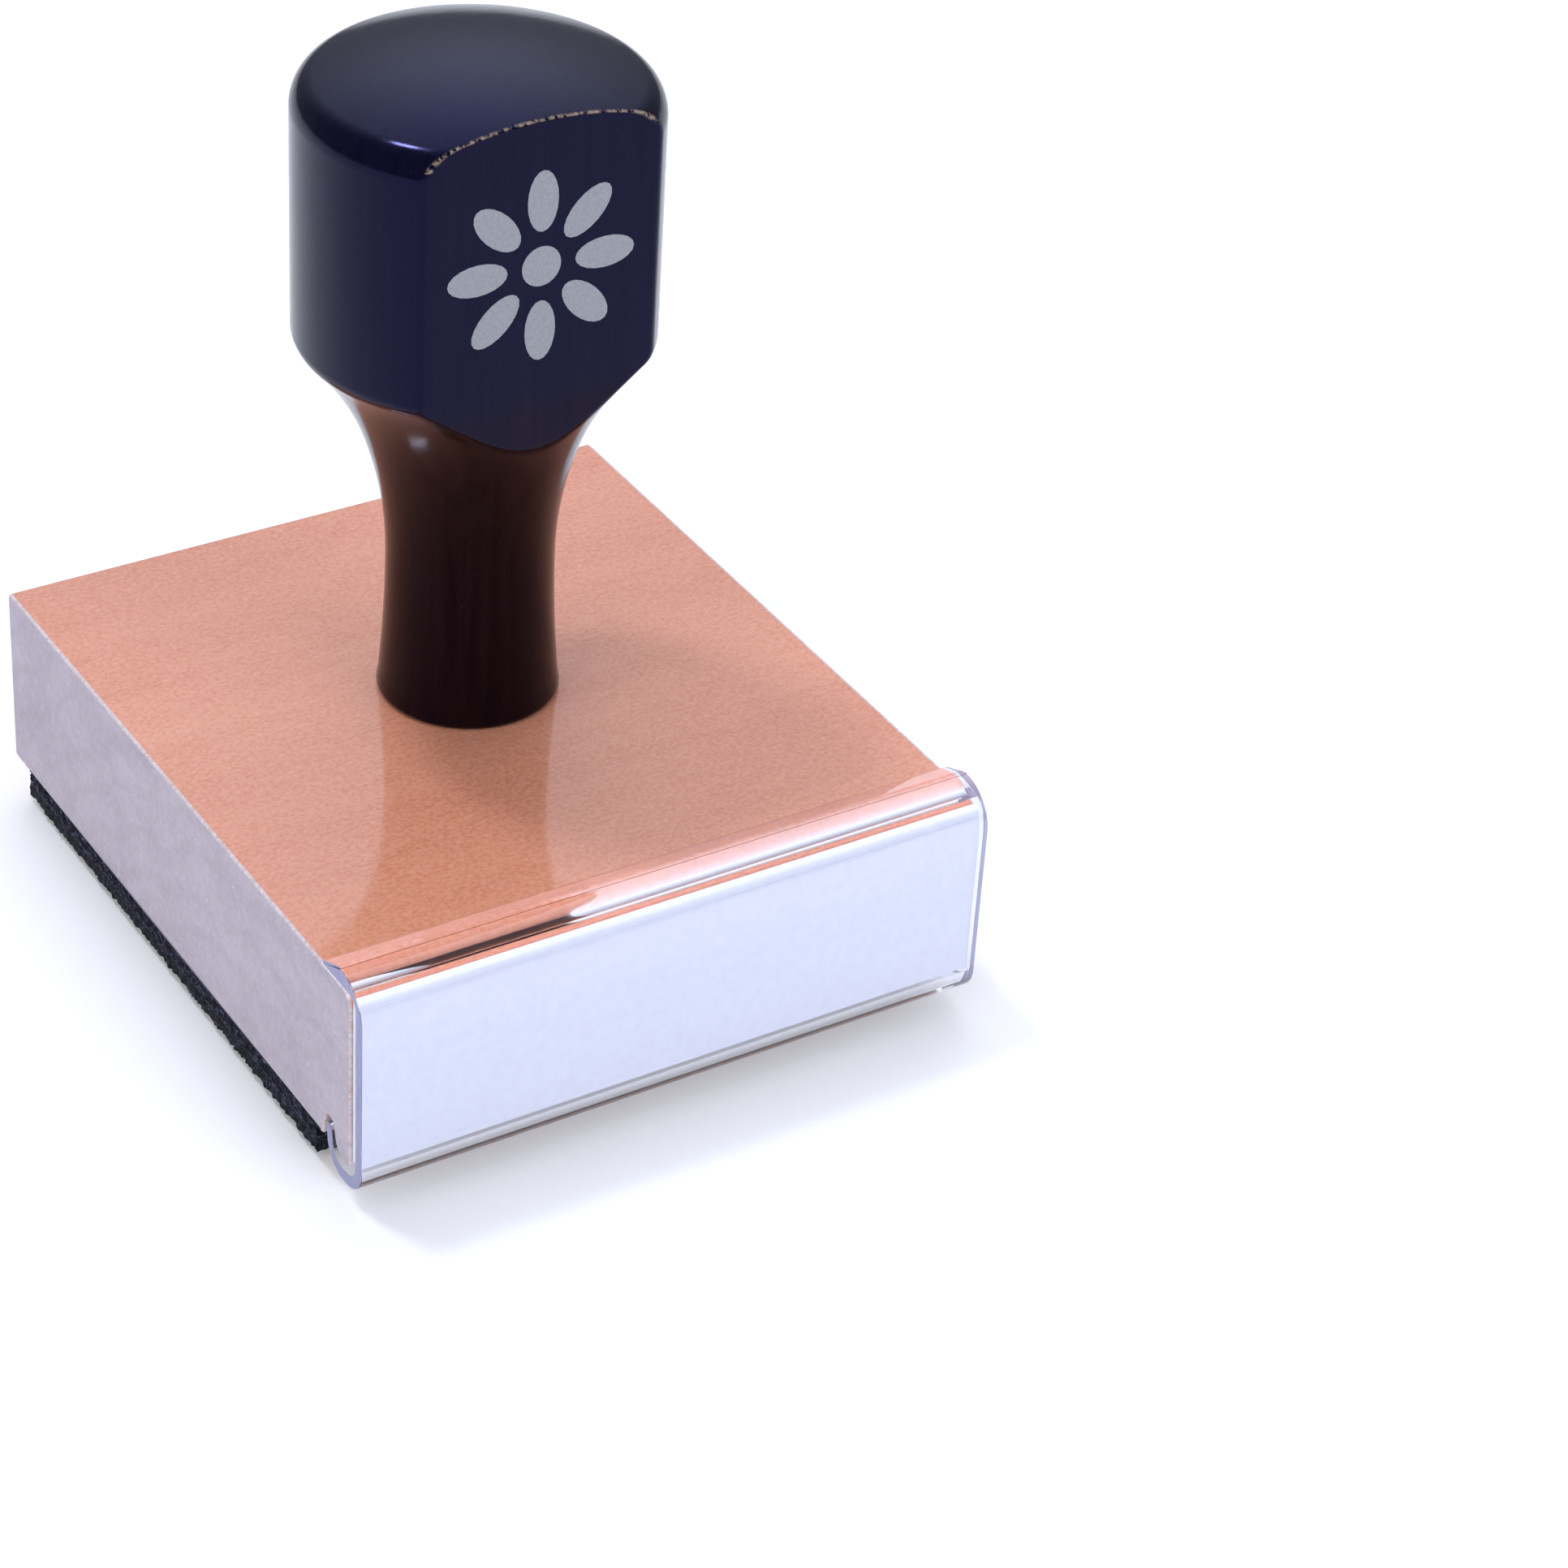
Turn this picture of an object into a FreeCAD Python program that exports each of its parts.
import FreeCAD, Part
import math
import os
import Sketcher

# A wood-mounted rubber stamp: a moulded block with a turned handle on top, a clear index
# cover over its front edge, and a foam cushion and an engraved rubber die underneath.
# Millimetres.  The origin is the centre of the printing face, under the handle's axis.
# +Z points up the handle, and the index cover faces -Y.

doc = FreeCAD.newDocument("rubber_stamp")

# ---------------------------------------------------------------- driving dimensions
SIZES = [
    # the block
    ("block_width", 63.5),
    ("block_height", 18.6),
    ("block_edge_round", 0.5),
    ("shoulder_round", 1.5),
    # the hook groove in the block's underside
    ("toe_length", 2.5),
    ("toe_round", 1.6),
    ("groove_slack", 1.05),
    ("groove_draft", 0.6),
    ("groove_depth", 2.8),
    ("groove_corner", 0.5),
    ("groove_land", 1.8),
    # the printing stack, from the floor up
    ("relief_height", 0.7),
    ("die_base", 1.5),
    ("film", 0.1),
    ("foam_thickness", 2.0),
    ("die_length", 61.8),
    ("die_side_inset", 0.4),
    ("die_back_inset", 2.0),
    # the clear cover, and its clearances
    ("cover_wall", 1.25),
    ("cover_gap", 0.15),
    ("lip_thickening", 0.35),
    ("lip_flat", 0.5),
    ("lip_slope", 2.8),
    ("lip_edge", 0.4),
    ("lip_crest_round", 2.3),
    ("cover_shoulder_round", 4.0),
    ("cover_inner_round", 1.2),
    ("toe_clearance", 1.05),
    ("hook_clearance", 0.3),
    ("hook_tip_width", 0.8),
    ("hook_tip_gap", 0.6),
    ("hook_lean", 0.55),
    ("tip_round", 0.3),
    # the index card
    ("card_thickness", 0.85),
    ("card_gap", 0.15),
    ("card_end_gap", 0.3),
    ("card_top_drop", 0.3),
    ("card_top_round", 0.6),
    ("card_bottom_rise", 0.6),
    # the handle
    ("handle_height", 64.6),
    ("foot_radius", 8.5),
    ("foot_round", 0.6),
    ("waist_radius", 7.75),
    ("waist_height", 14.4),
    ("flare_radius", 9.87),
    ("flare_height", 27.1),
    ("shoulder_height", 37.3),
    ("shoulder_blend", 2.0),
    ("head_radius", 16.25),
    ("head_dome", 3.6),
    ("head_round", 3.2),
    ("flat_distance", 11.5),
    # the dowel screw that joins handle and block
    ("screw_root_radius", 1.7),
    ("screw_thread_radius", 2.4),
    ("screw_pitch", 1.8),
    ("screw_in_handle", 16.0),
    ("screw_in_block", 13.0),
    ("screw_point", 2.4),
    ("pilot_slack", 0.2),
    ("pilot_clearance", 1.0),
    # the raised design
    ("rim_radius", 28.5),
    ("rim_width", 0.8),
    ("dash_circle", 25.2),
    ("dash_length", 3.4),
    ("dash_width", 1.1),
    ("inner_ring_radius", 11.6),
    ("inner_ring_width", 0.6),
    ("flower_circle", 18.0),
    ("flower_eye_radius", 0.9),
    ("flower_petal_circle", 2.6),
    ("flower_petal_radius", 1.05),
    ("leaf_inner", 15.2),
    ("leaf_outer", 21.0),
    ("leaf_bulge", 1.1),
    ("centre_eye_radius", 2.2),
    ("centre_petal_inner", 3.2),
    ("centre_petal_outer", 9.6),
    ("centre_petal_bulge", 1.5),
]
DASHES = 24
FLOWERS = 8
FLOWER_PETALS = 6
CENTRE_PETALS = 8

# each round of the cover's foot as a share of the channel's width, so that two rounds fit
OUTER_FLOOR_SHARE = 0.47
INNER_FLOOR_SHARE = 0.44
SLAB_REACH = 1.5  # half the side of the slab that cuts the handle's flat, in head radii

sheet = doc.addObject("Spreadsheet::Sheet", "Sizes")
for row, (alias, value) in enumerate(SIZES, start=1):
    sheet.set("A%d" % row, alias.replace("_", " "))
    sheet.set("B%d" % row, str(value))
    sheet.setAlias("B%d" % row, alias)
doc.recompute()


# ---------------------------------------------------------------- sizes and bindings
class Size:
    """A length that knows its value and the sheet formula that gives it."""

    def __init__(self, value, formula):
        self.value = value
        self.formula = formula

    def __add__(self, other):
        other = as_size(other)
        return Size(self.value + other.value, "(%s + %s)" % (self.formula, other.formula))

    def __sub__(self, other):
        other = as_size(other)
        return Size(self.value - other.value, "(%s - %s)" % (self.formula, other.formula))

    def __mul__(self, other):
        other = as_size(other)
        return Size(self.value * other.value, "(%s * %s)" % (self.formula, other.formula))

    def __truediv__(self, other):
        other = as_size(other)
        return Size(self.value / other.value, "(%s / %s)" % (self.formula, other.formula))

    def __neg__(self):
        return self * -1


def as_size(number):
    """A plain number taken as a length."""
    if isinstance(number, Size):
        return number
    return Size(float(number), str(float(number)))


def size(alias):
    """A cell of the sheet, by its alias."""
    return Size(float(getattr(sheet, alias)), "Sizes." + alias)


def bind(thing, prop, length):
    """Tie a property to the sheet."""
    thing.setExpression(prop, as_size(length).formula)


# ---------------------------------------------------------------- sketch helpers
ZERO = as_size(0)


def new_body(name):
    """An empty body that will be exported under its own name."""
    body = doc.addObject("PartDesign::Body", name)
    body.Label = name
    return body


def new_sketch(body, name, plane, offset=ZERO):
    """A sketch on one of the body's own origin planes, moved along its normal."""
    sketch = body.newObject("Sketcher::SketchObject", name)
    support = [f for f in body.Origin.OriginFeatures if f.Role == plane][0]
    sketch.AttachmentSupport = [(support, "")]
    sketch.MapMode = "FlatFace"
    bind(sketch, "AttachmentOffset.Base.z", offset)
    return sketch


def pin_point(sketch, geometry, point, across, up):
    """Hold one point of the sketch at a place given by the sheet."""
    for kind, length in (("DistanceX", across), ("DistanceY", up)):
        length = as_size(length)
        index = sketch.addConstraint(Sketcher.Constraint(kind, -1, 1, geometry, point, length.value))
        bind(sketch, "Constraints[%d]" % index, length)


def set_radius(sketch, geometry, radius):
    """Give a circle or an arc its radius from the sheet."""
    index = sketch.addConstraint(Sketcher.Constraint("Radius", geometry, radius.value))
    bind(sketch, "Constraints[%d]" % index, radius)


def add_polygon(sketch, corners):
    """A closed outline of straight sides, each corner held by the sheet."""
    places = [FreeCAD.Vector(as_size(a).value, as_size(b).value, 0) for a, b in corners]
    first = sketch.GeometryCount
    count = len(corners)
    for i in range(count):
        sketch.addGeometry(Part.LineSegment(places[i], places[(i + 1) % count]), False)
    for i in range(count):
        following = first + (i + 1) % count
        sketch.addConstraint(Sketcher.Constraint("Coincident", first + i, 2, following, 1))
        pin_point(sketch, first + i, 1, *corners[i])


def add_circle(sketch, across, up, radius):
    """A circle whose centre and radius come from the sheet."""
    across, up, radius = as_size(across), as_size(up), as_size(radius)
    centre = FreeCAD.Vector(across.value, up.value, 0)
    circle = sketch.addGeometry(Part.Circle(centre, FreeCAD.Vector(0, 0, 1), radius.value), False)
    pin_point(sketch, circle, 3, across, up)
    set_radius(sketch, circle, radius)


def add_leaf(sketch, inner, outer, bulge):
    """A pointed leaf along +Y: two mirrored arcs between an inner and an outer tip."""
    half = (outer - inner) / 2
    middle = (outer + inner) / 2
    radius = (half * half + bulge * bulge) / (bulge * 2)
    turn = math.asin(half.value / radius.value)
    arcs = []
    for side in (1, -1):
        centre = FreeCAD.Vector(side * (bulge - radius).value, middle.value, 0)
        circle = Part.Circle(centre, FreeCAD.Vector(0, 0, 1), radius.value)
        facing = 0 if side > 0 else math.pi
        arcs.append(sketch.addGeometry(Part.ArcOfCircle(circle, facing - turn, facing + turn), False))
    right, left = arcs
    sketch.addConstraint(Sketcher.Constraint("Coincident", right, 2, left, 1))
    sketch.addConstraint(Sketcher.Constraint("Coincident", right, 1, left, 2))
    pin_point(sketch, right, 1, ZERO, inner)
    pin_point(sketch, right, 2, ZERO, outer)
    for arc in arcs:
        set_radius(sketch, arc, radius)


def add_pad(body, name, sketch, length, midplane=False):
    """Raise a sketch into a solid."""
    pad = body.newObject("PartDesign::Pad", name)
    pad.Profile = sketch
    pad.Midplane = midplane
    bind(pad, "Length", length)
    doc.recompute()
    return pad


def add_pocket(body, name, sketch, length, midplane=False, reverse=False):
    """Cut a sketch out of the body, and make sure that it did cut."""
    before = body.Shape.Volume
    pocket = body.newObject("PartDesign::Pocket", name)
    pocket.Profile = sketch
    pocket.Midplane = midplane
    pocket.Reversed = reverse
    bind(pocket, "Length", length)
    doc.recompute()
    if not body.Shape.Volume < before - 1e-3:
        raise RuntimeError(name + " cut nothing")
    return pocket


def edges_where(shape, wanted):
    """The names of the edges whose middle and direction pass a test."""
    found = []
    for number, edge in enumerate(shape.Edges, start=1):
        middle = edge.valueAt((edge.FirstParameter + edge.LastParameter) / 2)
        if wanted(edge, middle):
            found.append("Edge%d" % number)
    return found


def add_fillet(body, name, wanted, radius):
    """Round the edges that pass a test."""
    base = body.Tip
    names = edges_where(base.Shape, wanted)
    if not names:
        raise RuntimeError(name + " found no edge")
    fillet = body.newObject("PartDesign::Fillet", name)
    fillet.Base = (base, names)
    bind(fillet, "Radius", radius)
    doc.recompute()
    return fillet


def runs_along_x(edge):
    """True for a straight edge across the stamp's width."""
    span = edge.BoundBox
    return span.XLength > 1 and span.YLength < 1e-6 and span.ZLength < 1e-6


def at_corner(across, up):
    """A test for the long edge that stands at one corner of a Y-Z section."""
    def wanted(edge, middle):
        near = abs(middle.y - across.value) < 1e-4 and abs(middle.z - up.value) < 1e-4
        return runs_along_x(edge) and near
    return wanted


# ---------------------------------------------------------------- shared levels and faces
# heights, from the floor up
die_top = size("relief_height") + size("die_base")
cushion_bottom = die_top + size("film")
cushion_top = cushion_bottom + size("foam_thickness")
block_bottom = cushion_top + size("film")
block_top = block_bottom + size("block_height")

# depths: die, land, hook groove and toe follow each other towards the front
die_width = size("block_width") - size("die_side_inset") * 2
die_length = size("die_length")
groove_back = -(die_length / 2 + size("groove_land"))
groove_mouth = size("hook_clearance") + size("cover_wall") + size("groove_slack")
toe_back = groove_back - groove_mouth
block_front = toe_back - size("toe_length")
block_back = die_length / 2 + size("die_back_inset")
cover_inner = block_front - (size("card_gap") + size("card_thickness") + size("cover_gap"))
cover_front = cover_inner - size("cover_wall")

pilot_radius = size("screw_root_radius") + size("pilot_slack")


# ---------------------------------------------------------------- block
def make_wood_block():
    """The mount: a moulded strip cut to width, drilled for the screw."""
    body = new_body("wood_block")
    draft = size("groove_draft")
    groove_top = block_bottom + size("groove_depth")

    section = new_sketch(body, "block_section", "YZ_Plane")
    add_polygon(section, [
        (block_front, block_bottom),
        (toe_back, block_bottom),
        (toe_back + draft, groove_top),
        (groove_back - draft, groove_top),
        (groove_back, block_bottom),
        (block_back, block_bottom),
        (block_back, block_top),
        (block_front, block_top),
    ])
    add_pad(body, "block_moulding", section, size("block_width"), midplane=True)

    add_fillet(body, "shoulder", at_corner(block_front, block_top), size("shoulder_round"))
    add_fillet(body, "toe", at_corner(toe_back, block_bottom), size("toe_round"))

    def groove_roof_edges(edge, middle):
        return runs_along_x(edge) and abs(middle.z - groove_top.value) < 1e-4
    add_fillet(body, "groove_corners", groove_roof_edges, size("groove_corner"))

    def sanded(edge, middle):
        along_back = runs_along_x(edge) and abs(middle.y - block_back.value) < 1e-4
        upright = edge.BoundBox.ZLength > size("block_height").value * 0.5
        return along_back or (upright and middle.y > 0)
    add_fillet(body, "sanded_edges", sanded, size("block_edge_round"))

    hole = new_sketch(body, "block_pilot_circle", "XY_Plane", block_top)
    add_circle(hole, 0, 0, pilot_radius)
    depth = size("screw_in_block") + size("pilot_clearance")
    add_pocket(body, "block_pilot_hole", hole, depth)
    return body


# ---------------------------------------------------------------- handle
def arc_with_centre_height(start, end, centre_up):
    """The circle through two places in the section, whose centre is level with centre_up."""
    sx, sy = start
    ex, ey = end
    cy = centre_up
    cx = (ex ** 2 - sx ** 2 + (ey - cy) ** 2 - (sy - cy) ** 2) / (2 * (ex - sx))
    radius = math.hypot(sx - cx, sy - cy)
    circle = Part.Circle(FreeCAD.Vector(cx, cy, 0), FreeCAD.Vector(0, 0, 1), radius)
    angles = [math.atan2(y - cy, x - cx) % (2 * math.pi) for x, y in (start, end)]
    return circle, angles


def make_handle():
    """The turned handle: a slim waist, a flared neck, and a head with one flat."""
    body = new_body("handle")
    foot = block_top
    waist = foot + size("waist_height")
    flare = foot + size("flare_height")
    shoulder = foot + size("shoulder_height")
    top = foot + size("handle_height")
    rim = top - size("head_dome")

    profile = new_sketch(body, "handle_profile", "XZ_Plane")
    places = {
        "axis_foot": (ZERO, foot),
        "foot": (size("foot_radius"), foot),
        "waist": (size("waist_radius"), waist),
        "flare": (size("flare_radius"), flare),
        "shoulder": (size("head_radius"), shoulder),
        "rim": (size("head_radius"), rim),
        "crown": (ZERO, top),
    }
    flat = {name: (a.value, b.value) for name, (a, b) in places.items()}

    def vector(name):
        return FreeCAD.Vector(flat[name][0], flat[name][1], 0)

    def arc(start, end, centre_up):
        circle, angles = arc_with_centre_height(flat[start], flat[end], centre_up)
        turn = (angles[1] - angles[0]) % (2 * math.pi)
        if turn > math.pi:
            return profile.addGeometry(Part.ArcOfCircle(circle, angles[1], angles[0]), False), (2, 1)
        return profile.addGeometry(Part.ArcOfCircle(circle, angles[0], angles[1]), False), (1, 2)

    # neck above the flare: an arc that leaves the waist's arc smoothly
    waist_circle, _ = arc_with_centre_height(flat["waist"], flat["flare"], waist.value)
    lean = (vector("flare") - waist_circle.Center).normalize()
    chord = vector("shoulder") - vector("flare")
    reach = chord.Length ** 2 / (2 * chord.dot(lean * -1))

    base = profile.addGeometry(Part.LineSegment(vector("axis_foot"), vector("foot")), False)
    lower, lower_ends = arc("foot", "waist", waist.value)
    middle, middle_ends = arc("waist", "flare", waist.value)
    neck_centre = vector("flare") - lean * reach
    neck_circle = Part.Circle(neck_centre, FreeCAD.Vector(0, 0, 1), reach)
    to_flare = vector("flare") - neck_centre
    to_shoulder = vector("shoulder") - neck_centre
    angle_flare = math.atan2(to_flare.y, to_flare.x) % (2 * math.pi)
    angle_shoulder = math.atan2(to_shoulder.y, to_shoulder.x) % (2 * math.pi)
    neck = profile.addGeometry(Part.ArcOfCircle(neck_circle, angle_shoulder, angle_flare), False)
    side = profile.addGeometry(Part.LineSegment(vector("shoulder"), vector("rim")), False)
    half = size("head_radius").value
    dome = size("head_dome").value
    dome_radius = (half ** 2 + dome ** 2) / (2 * dome)
    dome_centre = FreeCAD.Vector(0, flat["crown"][1] - dome_radius, 0)
    dome_circle = Part.Circle(dome_centre, FreeCAD.Vector(0, 0, 1), dome_radius)
    rim_angle = math.atan2(flat["rim"][1] - dome_centre.y, half)
    crown = profile.addGeometry(Part.ArcOfCircle(dome_circle, rim_angle, math.pi / 2), False)
    axis = profile.addGeometry(Part.LineSegment(vector("crown"), vector("axis_foot")), False)

    pin_point(profile, base, 1, *places["axis_foot"])
    pin_point(profile, base, 2, *places["foot"])
    pin_point(profile, lower, lower_ends[1], *places["waist"])
    pin_point(profile, middle, middle_ends[1], *places["flare"])
    pin_point(profile, side, 1, *places["shoulder"])
    pin_point(profile, side, 2, *places["rim"])
    pin_point(profile, axis, 1, *places["crown"])
    joints = [
        (base, 2, lower, lower_ends[0]),
        (lower, lower_ends[1], middle, middle_ends[0]),
        (neck, 1, side, 1),
        (side, 2, crown, 1),
        (crown, 2, axis, 1),
        (axis, 2, base, 1),
    ]
    for one, one_end, other, other_end in joints:
        profile.addConstraint(Sketcher.Constraint("Coincident", one, one_end, other, other_end))
    # both waist arcs have their centres level with the waist, and the dome's is on the axis
    for curve in (lower, middle):
        index = profile.addConstraint(Sketcher.Constraint("DistanceY", -1, 1, curve, 3, waist.value))
        bind(profile, "Constraints[%d]" % index, waist)
    profile.addConstraint(Sketcher.Constraint("PointOnObject", crown, 3, -2))
    profile.addConstraint(Sketcher.Constraint("Tangent", middle, middle_ends[1], neck, 2))

    turned = body.newObject("PartDesign::Revolution", "turned_handle")
    turned.Profile = profile
    turned.ReferenceAxis = (profile, ["V_Axis"])
    turned.Angle = 360
    doc.recompute()

    def ring_at(radius, up):
        def wanted(edge, middle):
            level = edge.BoundBox.ZLength < 1e-6 and abs(middle.z - up.value) < 1e-4
            return level and abs(edge.BoundBox.XMax - radius.value) < 1e-3
        return wanted
    add_fillet(body, "head_edge", ring_at(size("head_radius"), rim), size("head_round"))
    add_fillet(body, "head_shoulder", ring_at(size("head_radius"), shoulder), size("shoulder_blend"))
    add_fillet(body, "foot_edge", ring_at(size("foot_radius"), foot), size("foot_round"))

    slab = new_sketch(body, "flat_slab", "XY_Plane", foot)
    reach_out = size("head_radius") * SLAB_REACH
    add_polygon(slab, [
        (-reach_out, -reach_out),
        (reach_out, -reach_out),
        (reach_out, -size("flat_distance")),
        (-reach_out, -size("flat_distance")),
    ])
    add_pocket(body, "head_flat", slab, size("handle_height") + 1, reverse=True)

    hole = new_sketch(body, "handle_pilot_circle", "XY_Plane", foot)
    add_circle(hole, 0, 0, pilot_radius)
    depth = size("screw_in_handle") + size("pilot_clearance")
    add_pocket(body, "handle_pilot_hole", hole, depth, reverse=True)
    return body


# ---------------------------------------------------------------- dowel screw
def make_dowel_screw():
    """A double-ended wood screw: ridged threads that run to a point at both ends."""
    body = new_body("dowel_screw")
    profile = new_sketch(body, "screw_profile", "XZ_Plane")
    root = size("screw_root_radius")
    crest = size("screw_thread_radius")
    low = block_top - size("screw_in_block")
    high = block_top + size("screw_in_handle")
    first = low + size("screw_point")
    last = high - size("screw_point")
    turns = int((last.value - first.value) / size("screw_pitch").value)
    pitch = (last - first) / turns
    corners = [(ZERO, low), (root, first)]
    for turn in range(turns):
        start = first + pitch * turn
        corners.append((crest, start + pitch / 2))
        corners.append((root, start + pitch))
    corners.append((ZERO, high))
    add_polygon(profile, corners)
    turned = body.newObject("PartDesign::Revolution", "turned_screw")
    turned.Profile = profile
    turned.ReferenceAxis = (profile, ["V_Axis"])
    turned.Angle = 360
    doc.recompute()
    return body


# ---------------------------------------------------------------- index cover and card
def make_index_cover():
    """The clear extrusion: a lip over the block's top, a flat front, and a hook under the toe."""
    body = new_body("index_cover")
    lip_under = block_top + size("cover_gap")
    lip_top = lip_under + size("cover_wall") + size("lip_thickening")
    lip_end = cover_front + size("cover_shoulder_round") + size("lip_flat") + size("lip_slope")
    inner_floor = block_bottom - size("toe_clearance")
    outer_floor = inner_floor - size("cover_wall")
    hook_inner = toe_back + size("hook_clearance")
    hook_outer = hook_inner + size("cover_wall")
    tip_up = block_bottom + (size("groove_depth") - size("hook_tip_gap"))
    tip_front = hook_inner + size("hook_lean")
    tip_back = tip_front + size("hook_tip_width")

    section = new_sketch(body, "cover_section", "YZ_Plane")
    add_polygon(section, [
        (lip_end, lip_under),
        (lip_end, lip_under + size("lip_edge")),
        (lip_end - size("lip_slope"), lip_top),
        (cover_front, lip_top),
        (cover_front, outer_floor),
        (hook_outer, outer_floor),
        (tip_back, tip_up),
        (tip_front, tip_up),
        (hook_inner, inner_floor),
        (cover_inner, inner_floor),
        (cover_inner, lip_under),
    ])
    add_pad(body, "cover_extrusion", section, size("block_width"), midplane=True)

    outer_round = (hook_outer - cover_front) * OUTER_FLOOR_SHARE
    inner_round = (hook_inner - cover_inner) * INNER_FLOOR_SHARE
    rounds = [
        ("cover_shoulder", [(cover_front, lip_top)], size("cover_shoulder_round")),
        ("cover_inner_shoulder", [(cover_inner, lip_under)], size("cover_inner_round")),
        ("cover_floor", [(cover_front, outer_floor), (hook_outer, outer_floor)], outer_round),
        ("cover_inner_floor", [(cover_inner, inner_floor), (hook_inner, inner_floor)], inner_round),
        ("hook_tip", [(tip_front, tip_up), (tip_back, tip_up)], size("tip_round")),
        ("lip_crest", [(lip_end - size("lip_slope"), lip_top)], size("lip_crest_round")),
        ("lip_tip", [(lip_end, lip_under + size("lip_edge"))], size("tip_round")),
    ]
    for name, corners, radius in rounds:
        tests = [at_corner(across, up) for across, up in corners]
        add_fillet(body, name, lambda edge, middle: any(test(edge, middle) for test in tests), radius)
    return body


def make_index_label():
    """The card between the block's front and the cover; its top edge is eased to fit there."""
    body = new_body("index_label")
    front = cover_inner + size("cover_gap")
    back = front + size("card_thickness")
    low = block_bottom + size("card_bottom_rise")
    high = block_top - size("card_top_drop")
    section = new_sketch(body, "card_section", "YZ_Plane")
    add_polygon(section, [(front, low), (back, low), (back, high), (front, high)])
    length = size("block_width") - size("card_end_gap") * 2
    add_pad(body, "card_slip", section, length, midplane=True)
    add_fillet(body, "card_top", at_corner(front, high), size("card_top_round"))
    return body


# ---------------------------------------------------------------- cushion and adhesive films
def make_layer(name, low, thickness):
    """One flat layer of the printing stack, as wide and long as the die."""
    layer = doc.addObject("Part::Box", name)
    layer.Label = name
    bind(layer, "Length", die_width)
    bind(layer, "Width", die_length)
    bind(layer, "Height", thickness)
    bind(layer, "Placement.Base.x", -(die_width / 2))
    bind(layer, "Placement.Base.y", -(die_length / 2))
    bind(layer, "Placement.Base.z", low)
    return layer


# ---------------------------------------------------------------- rubber die
def add_ring_pattern(body, name, feature, count):
    """Repeat a feature round the handle's axis."""
    pattern = body.newObject("PartDesign::PolarPattern", name)
    pattern.Originals = [feature]
    z_axis = [f for f in body.Origin.OriginFeatures if f.Role == "Z_Axis"][0]
    pattern.Axis = (z_axis, [""])
    pattern.Angle = 360
    pattern.Occurrences = count
    body.Tip = pattern
    doc.recompute()
    return pattern


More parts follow.
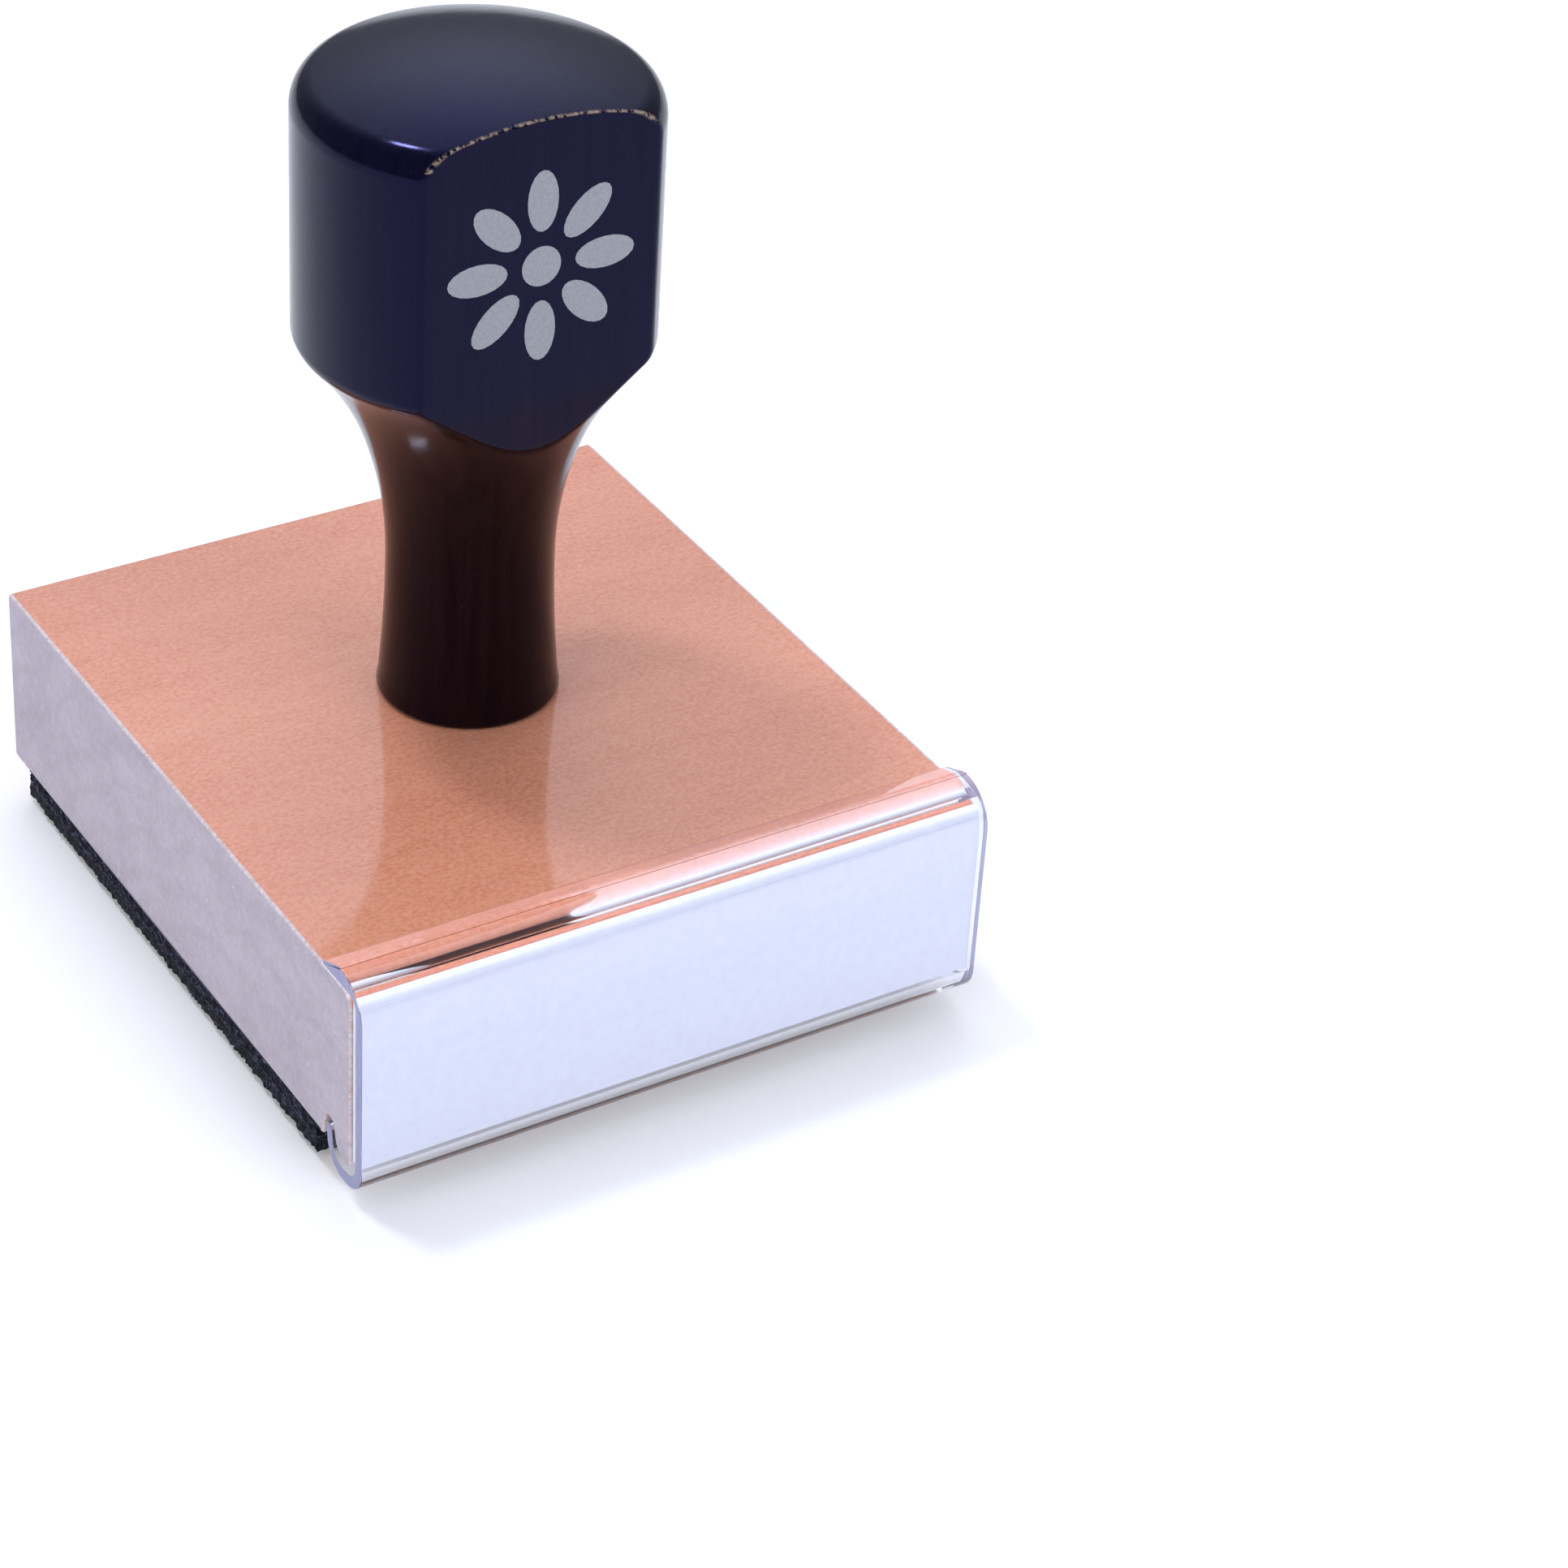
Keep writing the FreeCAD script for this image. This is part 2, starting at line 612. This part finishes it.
def make_rubber_die():
    """The engraved sheet: a square base with a raised wreath of plain shapes."""
    body = new_body("rubber_die")
    half_x = die_width / 2
    half_y = die_length / 2
    relief = size("relief_height")

    base = new_sketch(body, "die_outline", "XY_Plane", relief)
    add_polygon(base, [(-half_x, -half_y), (half_x, -half_y), (half_x, half_y), (-half_x, half_y)])
    add_pad(body, "die_sheet", base, size("die_base"))

    for name, radius, width in (
        ("rim", size("rim_radius"), size("rim_width")),
        ("inner_ring", size("inner_ring_radius"), size("inner_ring_width")),
    ):
        ring = new_sketch(body, name + "_circles", "XY_Plane")
        add_circle(ring, 0, 0, radius)
        add_circle(ring, 0, 0, radius - width)
        add_pad(body, name, ring, relief)

    dash = new_sketch(body, "dash_outline", "XY_Plane")
    dash_half = size("dash_length") * 0.5
    dash_low = size("dash_circle") - size("dash_width") * 0.5
    dash_high = dash_low + size("dash_width")
    add_polygon(dash, [
        (-dash_half, dash_low),
        (dash_half, dash_low),
        (dash_half, dash_high),
        (-dash_half, dash_high),
    ])
    add_ring_pattern(body, "dashes", add_pad(body, "dash", dash, relief), DASHES)

    flower = new_sketch(body, "flower_circles", "XY_Plane")
    add_circle(flower, 0, size("flower_circle"), size("flower_eye_radius"))
    for petal in range(FLOWER_PETALS):
        angle = 2 * math.pi * petal / FLOWER_PETALS
        across = size("flower_petal_circle") * round(math.sin(angle), 6)
        up = size("flower_circle") + size("flower_petal_circle") * round(math.cos(angle), 6)
        add_circle(flower, across, up, size("flower_petal_radius"))
    add_ring_pattern(body, "flowers", add_pad(body, "flower", flower, relief), FLOWERS)

    leaf = new_sketch(body, "leaf_outline", "XY_Plane")
    add_leaf(leaf, size("leaf_inner"), size("leaf_outer"), size("leaf_bulge"))
    leaf.AttachmentOffset = FreeCAD.Placement(
        FreeCAD.Vector(0, 0, 0), FreeCAD.Rotation(FreeCAD.Vector(0, 0, 1), 180 / FLOWERS))
    add_ring_pattern(body, "leaves", add_pad(body, "leaf", leaf, relief), FLOWERS)

    eye = new_sketch(body, "centre_eye_circle", "XY_Plane")
    add_circle(eye, 0, 0, size("centre_eye_radius"))
    add_pad(body, "centre_eye", eye, relief)
    petal = new_sketch(body, "centre_petal_outline", "XY_Plane")
    add_leaf(petal, size("centre_petal_inner"), size("centre_petal_outer"), size("centre_petal_bulge"))
    add_ring_pattern(body, "centre_petals", add_pad(body, "centre_petal", petal, relief), CENTRE_PETALS)
    return body


# ---------------------------------------------------------------- build, check and write
nodes = [
    make_wood_block(),
    make_handle(),
    make_dowel_screw(),
    make_index_cover(),
    make_index_label(),
    make_layer("mount_adhesive", cushion_top, size("film")),
    make_layer("cushion", cushion_bottom, size("foam_thickness")),
    make_layer("die_adhesive", die_top, size("film")),
    make_rubber_die(),
]
doc.recompute()

for thing in doc.Objects:
    if "Invalid" in thing.State or "Error" in thing.State:
        raise RuntimeError("%s did not build: %s" % (thing.Label, thing.State))
for node in nodes:
    shape = node.Shape
    if shape.isNull() or not shape.isValid() or shape.Volume <= 0:
        raise RuntimeError(node.Label + " is not a valid solid")

os.makedirs("parts", exist_ok=True)
for node in nodes:
    node.Shape.exportStep("parts/%s.step" % node.Label)
    print("%-16s solids %d  volume %9.1f  z %.2f to %.2f" % (
        node.Label, len(node.Shape.Solids), node.Shape.Volume,
        node.Shape.BoundBox.ZMin, node.Shape.BoundBox.ZMax))
